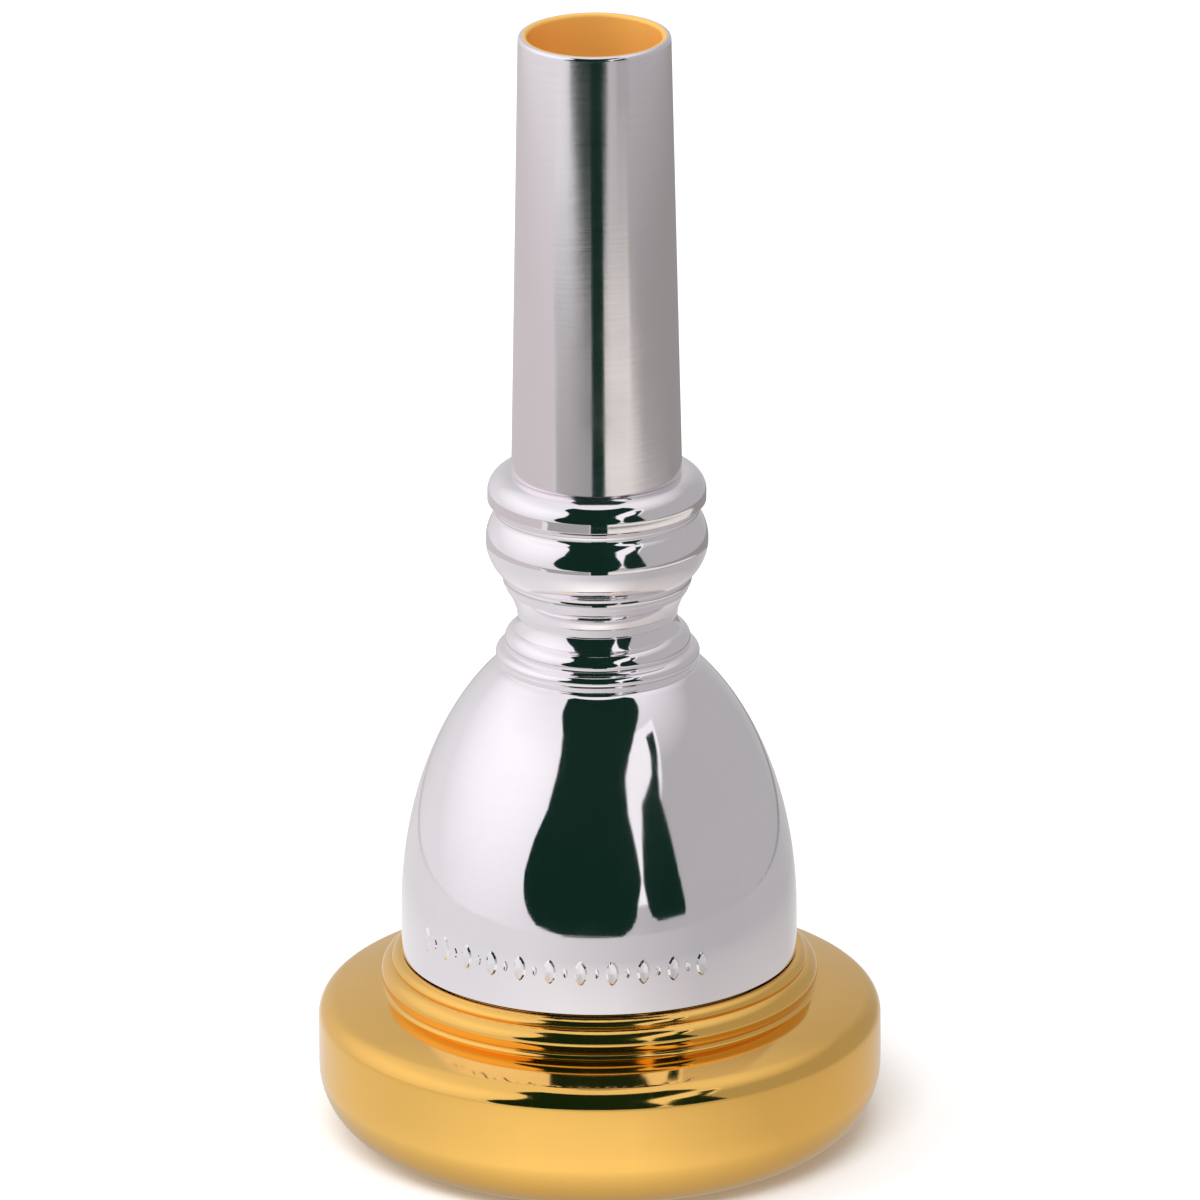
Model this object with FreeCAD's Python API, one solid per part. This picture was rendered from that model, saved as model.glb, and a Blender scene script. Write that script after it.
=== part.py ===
import FreeCAD, Part
import math
import os

# A modular mouthpiece for a large low-brass instrument: a screw rim, a cup with its throat and
# a screw shank, with an O-ring in each joint. Millimetres, +Z from the rim face up to the
# shank's small end, with the origin on the axis at the rim's contact circle.

# ---- driving dimensions -------------------------------------------------------------------
OVERALL_LENGTH = 99.7

# rim
BITE_D = 31.2                 # inner edge of the rim
RIM_OD = BITE_D + 17.8
RIM_CREST_D = BITE_D + 5.4    # circle that touches the player, or a table
RIM_OUTER_ROUND = 6.2         # radius from the crest to the side
RIM_SIDE_TOP = 10.36           # where the straight side ends
RIM_EDGE_ROUND = 1.9
RIM_FACE_SLOPE = 12.0         # degrees, back face falling outwards
RIM_FACE_CROWN = 0.08         # how far the back face is crowned
CUP_BODY_D = BITE_D + 3.2     # the cup outside the bowl
COLLAR_D = CUP_BODY_D + 2.8
COLLAR_HEIGHT = 3.33          # collar above the back face
COLLAR_BEAD = 0.8             # how far the collar's bead swells
COLLAR_COVE = 0.45            # height of the cove under that bead
COLLAR_FOOT = 0.3             # how far the collar stands out where it meets the back face
COLLAR_GROOVE = 0.75          # level of the groove above the bead, below the collar's top
COLLAR_SHOULDER = 0.3         # how far the collar's top is rounded above that groove

CUP_DOME_HEIGHT = 26.5        # height of the outer ellipse above its widest circle
CUP_DOME_BASE = 20.1          # level of that widest circle
NECK_Z = 42.75                # where the dome ends and the turned neck starts
NECK_FLANGE_HEIGHT = 17.5    # from the dome's end to the flange's top face
FLANGE_TOP = NECK_Z + NECK_FLANGE_HEIGHT
NECK_STEP = 0.3               # square step where the dome ends
# Each feature runs up to a radius beyond the neck's or the flange's circle, at a height above
# NECK_Z; the last number is how far it bulges, or how far it is hollowed if below 0.
NECK_PROFILE = (
    ("neck", 1.35, 1.65, 0.35),
    ("neck", 1.0, 1.8, 0),
    ("neck", 0.2, 3.4, 0.45),
    ("neck", -0.05, 3.9, 0),
    ("neck", -0.15, 4.5, 0),
    ("neck", -0.05, 4.65, 0),
    ("neck", 0.0, 5.3, 0),
    ("neck", 0.12, 5.45, 0),
    ("neck", 0.9, 7.0, -0.1),
    ("neck", 0.95, 7.4, 0),
    ("neck", 1.15, 7.55, 0),
    ("neck", 1.2, 8.0, 0),
    ("neck", 1.15, 8.25, 0),
    ("flange", -0.4, 13.5, 1.0),
    ("flange", -0.4, 14.6, -0.25),
    ("flange", 0.0, 15.0, 0),
    ("flange", 0.0, 15.6, 0),
    ("flange", -1.7, 17.5, 0.9),
)
BOWL_DEPTH = 33.5             # height of the bowl's ellipse above its base
BOWL_BASE = 6.5
THROAT_D = 8.3
NECK_D = THROAT_D + 5.7
THROAT_ROUND = 3.0            # blend from the bowl into the throat

# shank
SHANK_END_D = 13.15
SHANK_TAPER = 0.0405          # on the diameter, per length
SHANK_BORE_END_D = SHANK_END_D - 1.55
SHANK_END_ROUND = 0.32
BORE_STEP = 0.05              # backbore wider than the throat where they meet
BORE_SWELL = 0.2              # backbore wider than a straight cone halfway up

RIM_THREAD_D = CUP_BODY_D - 0.5
RIM_THREAD_PITCH = 1.0
RIM_SEAT_Z = 7.5
SHANK_THREAD_D = SHANK_END_D - 0.15
FLANGE_D = SHANK_THREAD_D + 5.9
SHANK_THREAD_PITCH = 0.75
SHANK_SPIGOT = 8.0            # length below the flange's top face
DEPTH_PER_PITCH = 0.57        # thread depth, over the pitch
ROOT_PER_PITCH = 0.15         # flat at the thread's root, over the pitch
RELIEF_PER_PITCH = 1.5        # height of each runout groove, over the pitch
SOCKET_LEAD = 0.35            # female thread stops this far below the male, over the pitch
LEAD_IN = 0.2                 # chamfer at the mouth of the shank's socket

# O-rings
ORING_SECTION = 1.0
ORING_GROOVE = 1.3 * ORING_SECTION
ORING_LAND = 0.6              # plain land on each side of a groove

# named clearances
THREAD_CLEAR = 0.1            # radial, crest to root
FLANK_CLEAR = 0.06            # axial, each flank
LAND_CLEAR = 0.15             # radial, plain land in its bore
RUNOUT_CLEAR = 0.2            # runout groove below the thread's root
ORING_CLEAR = 0.03            # radial, O-ring to bore and to groove
SHOULDER_GAP = 0.1            # cup shoulder above the collar
SOCKET_GAP = 0.4              # shank spigot above the bottom of its socket
EDGE_BREAK = 0.15


ORIGIN = FreeCAD.Vector(0, 0, 0)
UP = FreeCAD.Vector(0, 0, 1)
SEAM_ANGLE = 140.0            # keeps the seams of the turned faces away from the threads' ends


# ---- outlines -----------------------------------------------------------------------------
class Outline:
    """A closed outline in the (radius, height) plane, turned about the Z axis."""

    def __init__(self, r, z):
        self.start = self.here = (r, z)
        self.edges = []

    @staticmethod
    def point(r, z):
        return FreeCAD.Vector(r, 0, z)

    def line(self, r, z):
        if math.dist(self.here, (r, z)) > 1e-6:
            self.edges.append(Part.LineSegment(self.point(*self.here), self.point(r, z)).toShape())
            self.here = (r, z)
        return self

    def arc(self, middle, end):
        ends = self.point(*self.here), self.point(*middle), self.point(*end)
        self.edges.append(Part.Arc(*ends).toShape())
        self.here = end
        return self

    def turn(self, centre, radius, first, last):
        """An arc of the given centre and radius between two angles in degrees."""
        def at(angle):
            a = math.radians(angle)
            return centre[0] + radius * math.cos(a), centre[1] + radius * math.sin(a)
        self.line(*at(first))
        return self.arc(at((first + last) / 2), at(last))

    def ellipse(self, base, radius, height, end_z):
        """Along an ellipse centred on the axis at level base, from here to level end_z."""
        tip, side = self.point(0, base + height), self.point(radius, base)
        longer, shorter = (tip, side) if height > radius else (side, tip)
        curve = Part.Ellipse(longer, shorter, self.point(0, base))
        end = ellipse_radius(base, radius, height, end_z), end_z
        span = sorted((curve.parameter(self.point(*self.here)),
                       curve.parameter(self.point(*end))))
        piece = curve.toShape(*span)
        self.edges.append(piece)
        self.here = end
        return self

    def bulge(self, r, z, height):
        """A bead (height above 0) or a groove (below 0) from here to the given point."""
        dr, dz = r - self.here[0], z - self.here[1]
        length = math.hypot(dr, dz)
        middle = (self.here[0] + r) / 2 + height * abs(dz) / length, (self.here[1] + z) / 2
        return self.arc(middle, (r, z))

    def solid(self):
        self.line(*self.start)
        wire = Part.Wire(Part.__sortEdges__(self.edges))
        turned = Part.Face(wire).revolve(ORIGIN, UP, 360)
        turned.rotate(ORIGIN, UP, SEAM_ANGLE)
        return turned


def ellipse_radius(base, radius, height, z):
    return radius * math.sqrt(max(0.0, 1 - ((z - base) / height) ** 2))


class Thread:
    """A right-hand V thread: its male half, and the female half with the named clearances."""

    slope = 2 * math.tan(math.radians(30))

    def __init__(self, diameter, pitch, male_low, male_top, female_low, female_top):
        self.pitch = pitch
        self.depth = DEPTH_PER_PITCH * pitch
        self.relief = RELIEF_PER_PITCH * pitch
        self.root_flat = ROOT_PER_PITCH * pitch
        self.major_r = diameter / 2
        self.root_r = self.major_r - self.depth
        self.minor_r = self.root_r + THREAD_CLEAR
        self.bore_r = self.major_r + LAND_CLEAR
        self.runout_r = self.root_r - RUNOUT_CLEAR
        self.male_low, self.male_top = male_low, male_top
        self.female_low, self.female_top = female_low, female_top

    def cutter(self, r_in, w_in, r_out, w_out, r_end, z_low, z_high, through):
        """A helical cutter, a V with a square back, whose middle passes level through on +X."""
        path = Part.Wire(Part.makeLongHelix(self.pitch, z_high - z_low,
                                            (r_in + r_out) / 2).Edges)
        path.translate(FreeCAD.Vector(0, 0, z_low))
        lower = [(r_in, -w_in / 2), (r_out, -w_out / 2), (r_end, -w_out / 2)]
        corners = lower + [(r, -dz) for r, dz in reversed(lower)]
        points = [FreeCAD.Vector(r, 0, z_low + dz) for r, dz in corners]
        tool = path.makePipeShell([Part.makePolygon(points + points[:1])], True, True)
        tool.rotate(ORIGIN, UP, 360 * (z_low - through) / self.pitch)
        return tool

    def cut_male(self, solid):
        """From past the free end up into the runout groove."""
        extra = 0.1
        outer_w = self.root_flat + self.slope * (self.depth + extra)
        top = self.male_top + self.relief - outer_w / 2 - extra
        return solid.cut(self.cutter(self.root_r, self.root_flat, self.major_r + extra,
                                     outer_w, self.major_r + 4 * extra,
                                     self.male_low - self.pitch, top, self.male_low))

    def cut_female(self, solid):
        """From inside the runout groove up into the plain bore."""
        extra = 0.1
        crest = self.pitch - self.root_flat - self.slope * self.depth
        root_r = self.major_r + THREAD_CLEAR
        root_w = crest - self.slope * THREAD_CLEAR + 2 * FLANK_CLEAR
        inner_r = self.minor_r - extra
        inner_w = root_w + self.slope * (root_r - inner_r)
        low = self.female_low + inner_w / 2
        return solid.cut(self.cutter(root_r, root_w, inner_r, inner_w, inner_r - extra, low,
                                     self.female_top + self.pitch,
                                     self.male_low + self.pitch / 2))

    def draw_male(self, outline, oring_low, oring_top):
        """The spigot's outline from its free end up to the far side of the O-ring groove."""
        groove_r = self.bore_r - ORING_SECTION - 2 * ORING_CLEAR
        outline.line(self.root_r, self.male_low)
        outline.line(self.major_r, self.male_low + self.depth)
        outline.line(self.major_r, self.male_top)
        outline.line(self.runout_r, self.male_top)
        outline.line(self.runout_r, self.male_top + self.relief)
        outline.line(self.major_r, self.male_top + self.relief)
        outline.line(self.major_r, oring_low)
        outline.line(groove_r, oring_low)
        outline.line(groove_r, oring_top)
        outline.line(self.major_r, oring_top)

    def draw_female(self, outline):
        """The socket's outline from its plain bore down to its bottom."""
        outline.line(self.bore_r, self.female_top)
        outline.line(self.minor_r, self.female_top - self.depth)
        outline.line(self.minor_r, self.female_low + self.relief)
        outline.line(self.bore_r, self.female_low + self.relief)
        outline.line(self.bore_r, self.female_low)


# ---- sizes that follow from the ones above ------------------------------------------------
rim_face_z = (RIM_SIDE_TOP
              + RIM_EDGE_ROUND * math.sin(math.radians(90 - RIM_FACE_SLOPE))
              + (RIM_OD / 2 - RIM_EDGE_ROUND - COLLAR_D / 2 - COLLAR_FOOT)
              * math.tan(math.radians(RIM_FACE_SLOPE)))
collar_top = rim_face_z + COLLAR_HEIGHT
spigot_end = FLANGE_TOP - SHANK_SPIGOT

rim_oring_top = collar_top - ORING_LAND
rim_oring_low = rim_oring_top - ORING_GROOVE
rim_thread_top = rim_oring_low - ORING_LAND - RELIEF_PER_PITCH * RIM_THREAD_PITCH
rim_thread = Thread(RIM_THREAD_D, RIM_THREAD_PITCH, RIM_SEAT_Z, rim_thread_top,
                    RIM_SEAT_Z, rim_thread_top - SOCKET_LEAD * RIM_THREAD_PITCH)

shank_oring_top = FLANGE_TOP - ORING_LAND
shank_oring_low = shank_oring_top - ORING_GROOVE
shank_thread_top = shank_oring_low - ORING_LAND - RELIEF_PER_PITCH * SHANK_THREAD_PITCH
shank_thread = Thread(SHANK_THREAD_D, SHANK_THREAD_PITCH, spigot_end, shank_thread_top,
                      spigot_end - SOCKET_GAP,
                      shank_thread_top - SOCKET_LEAD * SHANK_THREAD_PITCH)

throat_r = THROAT_D / 2
bowl_r = BITE_D / 2
bowl_seat_r = ellipse_radius(BOWL_BASE, bowl_r, BOWL_DEPTH, RIM_SEAT_Z)


def shank_radius(z):
    return SHANK_END_D / 2 + SHANK_TAPER / 2 * (OVERALL_LENGTH - z)


# ---- pieces -------------------------------------------------------------------------------
def make_rim():
    crest_r = RIM_CREST_D / 2
    bite_r = BITE_D / 2
    side_r = RIM_OD / 2
    collar_r = COLLAR_D / 2
    inner_round = crest_r - bite_r
    bead_low = rim_face_z + COLLAR_COVE
    groove_z = collar_top - COLLAR_GROOVE
    groove_r = (collar_r + CUP_BODY_D / 2) / 2
    outline = Outline(bite_r, inner_round)
    outline.turn((crest_r, inner_round), inner_round, 180, 270)
    outline.turn((side_r - RIM_OUTER_ROUND, RIM_OUTER_ROUND), RIM_OUTER_ROUND, 270, 360)
    outline.turn((side_r - RIM_EDGE_ROUND, RIM_SIDE_TOP), RIM_EDGE_ROUND, 0,
                 90 - RIM_FACE_SLOPE)
    face_r, face_z = outline.here
    foot_r = collar_r + COLLAR_FOOT
    outline.arc(((face_r + foot_r) / 2, (face_z + rim_face_z) / 2 + RIM_FACE_CROWN),
                (foot_r, rim_face_z))
    outline.bulge(collar_r, bead_low, -COLLAR_COVE / 3)
    outline.bulge(groove_r, groove_z, COLLAR_BEAD)
    outline.line(groove_r + EDGE_BREAK, groove_z + EDGE_BREAK)
    outline.bulge(CUP_BODY_D / 2 + EDGE_BREAK, collar_top, COLLAR_SHOULDER)
    outline.line(rim_thread.bore_r, collar_top)
    rim_thread.draw_female(outline)
    outline.line(bowl_seat_r, RIM_SEAT_Z)
    outline.line(bowl_r, BOWL_BASE)
    return rim_thread.cut_female(outline.solid())


def add_neck(outline):
    """The turned beads and grooves between the dome and the flange, from the bottom up."""
    reference = {"neck": NECK_D / 2, "flange": FLANGE_D / 2}
    step_r = outline.here[0] - NECK_STEP
    outline.line(step_r, NECK_Z + NECK_STEP / 2)
    outline.line(step_r, NECK_Z + 2 * NECK_STEP)
    for circle, beyond, height, bulge in NECK_PROFILE:
        point = reference[circle] + beyond, NECK_Z + height
        if bulge:
            outline.bulge(*point, bulge)
        else:
            outline.line(*point)


def throat_blend():
    """Where a round of radius THROAT_ROUND touches the bowl's ellipse, and its centre."""
    low, high = 0.0, math.pi / 2
    for _ in range(60):
        t = (low + high) / 2
        point = bowl_r * math.cos(t), BOWL_BASE + BOWL_DEPTH * math.sin(t)
        normal = math.cos(t) / bowl_r, math.sin(t) / BOWL_DEPTH
        reach = THROAT_ROUND / math.hypot(*normal)
        centre = point[0] + reach * normal[0], point[1] + reach * normal[1]
        if centre[0] > throat_r + THROAT_ROUND:
            low = t
        else:
            high = t
    return point, centre


def make_cup():
    body_r = CUP_BODY_D / 2
    shoulder = collar_top + SHOULDER_GAP
    (touch_r, touch_z), centre = throat_blend()
    touch_angle = math.degrees(math.atan2(touch_z - centre[1], touch_r - centre[0])) % 360
    outline = Outline(bowl_seat_r, RIM_SEAT_Z)
    rim_thread.draw_male(outline, rim_oring_low, rim_oring_top)
    outline.line(rim_thread.major_r, shoulder)
    outline.line(body_r - EDGE_BREAK, shoulder)
    outline.line(body_r, shoulder + EDGE_BREAK)
    outline.line(body_r, CUP_DOME_BASE)
    outline.ellipse(CUP_DOME_BASE, body_r, CUP_DOME_HEIGHT, NECK_Z)
    add_neck(outline)
    outline.line(shank_thread.bore_r + LEAD_IN, FLANGE_TOP)
    outline.line(shank_thread.bore_r, FLANGE_TOP - LEAD_IN)
    shank_thread.draw_female(outline)
    outline.line(throat_r, shank_thread.female_low)
    outline.turn(centre, THROAT_ROUND, 180, touch_angle)
    outline.ellipse(BOWL_BASE, bowl_r, BOWL_DEPTH, RIM_SEAT_Z)
    return shank_thread.cut_female(rim_thread.cut_male(outline.solid()))


def make_shank():
    end_r = SHANK_END_D / 2
    bore_end_r = SHANK_BORE_END_D / 2
    bore_low_r = throat_r + BORE_STEP
    foot_r = shank_radius(FLANGE_TOP)
    round_z = OVERALL_LENGTH - SHANK_END_ROUND
    outline = Outline(bore_low_r, spigot_end)
    shank_thread.draw_male(outline, shank_oring_low, shank_oring_top)
    outline.line(shank_thread.major_r, FLANGE_TOP)
    outline.line(foot_r - EDGE_BREAK, FLANGE_TOP)
    outline.line(foot_r, FLANGE_TOP + EDGE_BREAK)
    outline.line(shank_radius(round_z), round_z)
    outline.turn((end_r - SHANK_END_ROUND, round_z), SHANK_END_ROUND, 0, 90)
    outline.turn((bore_end_r + SHANK_END_ROUND, round_z), SHANK_END_ROUND, 90, 180)
    middle = (bore_low_r + bore_end_r) / 2 + BORE_SWELL, (spigot_end + OVERALL_LENGTH) / 2
    outline.arc(middle, (bore_low_r, spigot_end))
    return shank_thread.cut_male(outline.solid())


def make_oring(thread, groove_low):
    centre_r = thread.bore_r - ORING_CLEAR - ORING_SECTION / 2
    centre = FreeCAD.Vector(0, 0, groove_low + ORING_GROOVE / 2)
    return Part.makeTorus(centre_r, ORING_SECTION / 2, centre)


def main():
    os.makedirs("parts", exist_ok=True)
    pieces = {
        "rim": make_rim(),
        "rim_o_ring": make_oring(rim_thread, rim_oring_low),
        "cup": make_cup(),
        "shank_o_ring": make_oring(shank_thread, shank_oring_low),
        "shank": make_shank(),
    }
    for name, shape in pieces.items():
        solids = shape.Solids
        assert len(solids) == 1 and shape.isValid(), name
        solids[0].exportStep("parts/" + name + ".step")
        box = shape.optimalBoundingBox(False)
        print(f"{name}: {solids[0].Volume:.1f} mm3, z {box.ZMin:.2f} to {box.ZMax:.2f}, "
              f"radius {box.XMax:.2f}")


main()
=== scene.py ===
import math

import bpy
import numpy as np
from bpy.props import FloatProperty, FloatVectorProperty, IntProperty, PointerProperty
from mathutils import Matrix, Vector


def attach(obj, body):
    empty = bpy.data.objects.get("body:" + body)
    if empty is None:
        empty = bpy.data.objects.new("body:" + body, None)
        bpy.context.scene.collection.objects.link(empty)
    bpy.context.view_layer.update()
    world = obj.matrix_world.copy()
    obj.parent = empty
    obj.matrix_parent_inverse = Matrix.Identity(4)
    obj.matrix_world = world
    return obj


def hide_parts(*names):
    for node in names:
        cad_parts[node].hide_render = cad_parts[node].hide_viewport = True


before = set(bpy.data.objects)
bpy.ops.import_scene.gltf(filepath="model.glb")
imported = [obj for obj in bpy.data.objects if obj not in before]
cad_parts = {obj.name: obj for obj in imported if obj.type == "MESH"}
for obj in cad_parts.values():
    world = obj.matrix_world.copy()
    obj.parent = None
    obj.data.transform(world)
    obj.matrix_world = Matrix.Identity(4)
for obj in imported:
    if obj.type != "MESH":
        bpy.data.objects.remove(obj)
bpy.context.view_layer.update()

bl_info = {
    "name": "Low brass mouthpiece",
    "version": (1, 0, 0),
    "blender": (4, 5, 0),
    "location": "3D View > Sidebar > Mouthpiece",
    "description": "Turned and plated pieces of a low brass mouthpiece on its CAD frame",
    "category": "Add Mesh",
}

MM = 0.001


# ---- settings a user would change ---------------------------------------------------------
def length(name, description, mm):
    return FloatProperty(name=name, description=description, default=mm * MM,
                         subtype="DISTANCE", unit="LENGTH", precision=5)


def colour(name, description, *rgb):
    return FloatVectorProperty(name=name, description=description, default=rgb,
                               size=len(rgb), subtype="COLOR", min=0.0, max=1.0)


def number(name, description, default):
    return FloatProperty(name=name, description=description, default=default, precision=4)


def count(name, description, default):
    return IntProperty(name=name, description=description, default=default, min=3)


class RimSettings(bpy.types.PropertyGroup):
    outside: length("Outside", "Diameter of the rim's straight side", 49.0)
    crest: length("Crest", "Diameter of the circle that touches the player", 36.6)
    bite: length("Bite", "Diameter of the rim's inner edge", 31.2)
    outer_round: length("Outer round", "Radius from the crest to the side", 6.2)
    side_top: length("Side top", "Height where the straight side ends", 10.36)
    edge_round: length("Edge round", "Radius between the side and the back face", 1.9)
    face_slope: number("Face slope", "Degrees by which the back face falls outwards", 12.0)
    collar: length("Collar", "Diameter of the collar that takes the cup", 37.2)
    collar_height: length("Collar height", "Collar above the back face", 3.33)
    segments: count("Segments", "Steps around the rim", 256)


class CupSettings(bpy.types.PropertyGroup):
    body: length("Body", "Largest diameter outside the rim", 34.4)
    dome_height: length("Dome height", "Height of the outer ellipse", 26.5)
    dome_base: length("Dome base", "Level of the dome's widest circle", 20.1)
    neck_level: length("Neck level", "Level where the dome ends", 42.75)
    neck: length("Neck", "Diameter of the narrowest part of the neck", 14.0)
    flange: length("Flange", "Diameter of the flange under the shank", 18.9)
    flange_top: length("Flange top", "Level of the flange's top face", 60.25)
    bowl_depth: length("Bowl depth", "Height of the bowl's ellipse", 33.5)
    bowl_base: length("Bowl base", "Level of the bowl's widest circle", 6.5)
    throat: length("Throat", "Diameter of the throat", 8.3)
    segments: count("Segments", "Steps around the cup", 176)


class ShankSettings(bpy.types.PropertyGroup):
    end: length("End", "Outside diameter of the shank's small end", 13.15)
    top: length("Top", "Level of the small end", 99.7)
    taper: number("Taper", "Change of diameter over length", 0.0405)
    bore_end: length("Bore end", "Bore diameter at the small end", 11.6)
    segments: count("Segments", "Steps around the shank", 240)


class SealSettings(bpy.types.PropertyGroup):
    section: length("Section", "Thickness of the rubber rings", 1.0)
    flash: length("Flash", "Height of the mould line on the rings", 0.025)
    segments: count("Segments", "Steps around each ring", 160)


class OrnamentSettings(bpy.types.PropertyGroup):
    level: length("Level", "Height of the band of marks on the cup", 20.35)
    mark_height: length("Mark height", "Height of a large mark", 2.4)
    mark_width: length("Mark width", "Width of a large mark", 1.3)
    relief: length("Relief", "How far a mark stands out of the cup", 0.09)
    marks: count("Marks", "Number of marks in the band", 21)
    start: number("Start", "Angle of the first mark, in degrees from the front", -60.0)
    sweep: number("Sweep", "Angle that the band covers, in degrees", 91.0)


class FinishSettings(bpy.types.PropertyGroup):
    silver: colour("Silver", "Colour of the silver plate", 0.955, 0.915, 0.95)
    silver_worn: colour("Worn silver", "Colour of the silver plate where it is dull",
                        0.80, 0.76, 0.76)
    gold: colour("Gold", "Colour of the gold plate", 0.97, 0.575, 0.145)
    gold_worn: colour("Worn gold", "Colour of the gold plate where it is dull",
                      0.83, 0.49, 0.13)
    rubber: colour("Rubber", "Colour of the rings", 0.018, 0.017, 0.017)


class StageSettings(bpy.types.PropertyGroup):
    elevation: number("Elevation", "Degrees by which the camera looks down", 19.7)
    distance: length("Distance", "From the camera to the mouthpiece", 1500.0)
    aim: length("Aim", "Level on the mouthpiece's axis that the camera looks at", 48.4)
    lens: number("Lens", "Focal length in millimetres", 520.5)
    roll: number("Roll", "Turn of the camera about its own line of sight, in degrees", -0.3)
    floor: colour("Floor", "Colour of the floor", 0.90, 0.90, 0.90)
    flag: colour("Flag", "Colour of the dark cards that the metal mirrors",
                 0.005, 0.022, 0.015)


class MouthpieceSettings(bpy.types.PropertyGroup):
    rim: PointerProperty(type=RimSettings, name="Rim", description="Gold-plated rim")
    cup: PointerProperty(type=CupSettings, name="Cup", description="Silver-plated cup")
    shank: PointerProperty(type=ShankSettings, name="Shank", description="Silver-plated shank")
    seals: PointerProperty(type=SealSettings, name="Seals", description="Rubber rings")
    ornament: PointerProperty(type=OrnamentSettings, name="Ornament",
                              description="Band of marks on the cup")
    finish: PointerProperty(type=FinishSettings, name="Finish", description="Colours")
    stage: PointerProperty(type=StageSettings, name="Stage", description="Floor and camera")


# ---- node trees ---------------------------------------------------------------------------
class Value:
    """An output of a node. Arithmetic on it adds Math nodes to its tree."""

    def __init__(self, graph, socket):
        self.graph = graph
        self.socket = socket

    def math(self, operation, *others, clamp=False):
        return self.graph.node("ShaderNodeMath", {"operation": operation, "use_clamp": clamp},
                               dict(enumerate((self,) + others)))

    def __add__(self, other):
        return self.math("ADD", other)

    __radd__ = __add__

    def __mul__(self, other):
        return self.math("MULTIPLY", other)

    __rmul__ = __mul__

    def __sub__(self, other):
        return self.math("SUBTRACT", other)

    def __rsub__(self, other):
        return self.graph.constant(other).math("SUBTRACT", self)

    def __truediv__(self, other):
        return self.math("DIVIDE", other)

    def __mod__(self, other):
        return self.math("MODULO", other)

    def power(self, other):
        return self.math("POWER", other)

    def ramp(self, low, high):
        """0 below low, 1 above high, straight in between."""
        return ((self - low) / (high - low)).math("ADD", 0.0, clamp=True)


class Graph:
    """Builds one node tree."""

    def __init__(self, tree):
        self.tree = tree

    def node(self, kind, settings=None, inputs=None, out=0):
        node = self.tree.nodes.new(kind)
        for name, value in (settings or {}).items():
            setattr(node, name, value)
        for key, value in (inputs or {}).items():
            socket = node.inputs[key]
            if isinstance(value, Value):
                self.tree.links.new(value.socket, socket)
            else:
                socket.default_value = value
        return Value(self, node.outputs[out])

    def constant(self, number):
        return self.node("ShaderNodeMath", {"operation": "ADD"}, {0: number, 1: 0.0})

    def parts(self, vector):
        first = self.node("ShaderNodeSeparateXYZ", inputs={0: vector})
        outputs = first.socket.node.outputs
        return [Value(self, outputs[i]) for i in range(3)]

    def vector(self, x, y, z):
        return self.node("ShaderNodeCombineXYZ", inputs={0: x, 1: y, 2: z})

    def noise(self, vector, scale, detail=2.0, roughness=0.5):
        return self.node("ShaderNodeTexNoise", {"noise_dimensions": "3D"},
                         {"Vector": vector, "Scale": scale, "Detail": detail,
                          "Roughness": roughness})

    def blend(self, factor, first, second):
        return self.node("ShaderNodeMix", {"data_type": "RGBA"},
                         {0: factor, 6: first, 7: second}, out=2)


def opaque(rgb):
    return (*rgb, 1.0)


def new_material(name):
    material = bpy.data.materials.new(name)
    material.use_nodes = True
    material.node_tree.nodes.clear()
    return material, Graph(material.node_tree)


# ---- materials ----------------------------------------------------------------------------
def output(graph, kind, shader):
    node = graph.tree.nodes.new(kind)
    graph.tree.links.new(shader.socket, node.inputs["Surface"])


def plated_metal(name, bright, worn, gloss, satin, grain, lining=None):
    """Polished plating: rings left by the lathe and the mop, dull patches and fine marks.

    gloss is the roughness where the plate is bright, satin where it is dull, and grain is the
    depth of the rings in metres. Where the mesh attribute "lining" is 1 the plate has the
    lining's colour, if one is given, and is duller.
    """
    material, graph = new_material(name)
    place = graph.node("ShaderNodeTexCoord", out="Object")
    x, y, z = graph.parts(place)
    radius = (x * x + y * y).power(0.5)
    around = y.math("ARCTAN2", x)
    cloud = graph.noise(place, 95.0, 3.0, 0.55)
    rings = graph.noise(graph.vector(radius * 2600.0, z * 2600.0, around * 0.8), 1.0, 3.0, 0.7)
    hairs = graph.noise(graph.vector(around * 95.0, z * 60.0, radius * 60.0), 1.0, 4.0, 0.75)
    waves = graph.noise(place, 240.0, 1.0, 0.4)
    dull = cloud.ramp(0.42, 0.68) * 0.55 + hairs.ramp(0.55, 0.72) * 0.45
    base = graph.blend(dull * 0.32 + rings.ramp(0.5, 0.75) * 0.06,
                       opaque(bright), opaque(worn))
    rough = gloss + dull * (satin - gloss) + rings.ramp(0.4, 0.8) * ((satin - gloss) * 0.25)
    metal = 1.0
    if lining:
        inside = graph.node("ShaderNodeAttribute", {"attribute_name": "lining"}, out="Fac")
        inside = inside.ramp(0.35, 0.65)
        base = graph.blend(inside, base, opaque(lining))
        rough = rough + inside * 0.4
        metal = 1 - inside * 0.5
    height = rings * grain + waves * (grain * 2.0) + hairs * (grain * 0.5)
    bump = graph.node("ShaderNodeBump", inputs={"Strength": 1.0, "Distance": 1.0,
                                                "Height": height})
    shader = graph.node("ShaderNodeBsdfPrincipled", inputs={
        "Base Color": base, "Metallic": metal, "Roughness": rough, "Normal": bump})
    output(graph, "ShaderNodeOutputMaterial", shader)
    return material


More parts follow.
